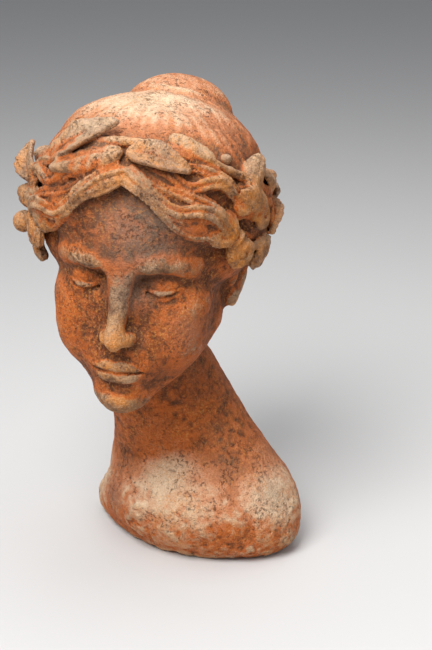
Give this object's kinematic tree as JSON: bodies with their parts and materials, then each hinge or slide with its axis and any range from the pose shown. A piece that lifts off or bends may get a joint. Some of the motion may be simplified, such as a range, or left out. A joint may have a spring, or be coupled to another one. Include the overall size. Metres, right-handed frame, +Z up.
{
  "type": "cast iron garden statue bust",
  "caption": "Rust-covered cast iron garden bust of a young woman with bowed head, leaf wreath over waved hair, a hair knot, a leaning neck and a small rounded foot.",
  "frame": {"origin": "centre of the flat underside of the foot, the point that the figure is drawn from", "axes": "+Z up along the figure's height, the chest faces -Y and the face turns from there toward +X, the figure's left is +X"},
  "size_m": [0.1829, 0.1844, 0.3311],
  "materials": {
    "rusted_iron": "bare cast iron under an even coat of orange to brown rust, pitted, worn grey-brown on the high spots"
  },
  "bodies": {
    "root": {"bust": "rusted_iron"}
  },
  "joints": []
}
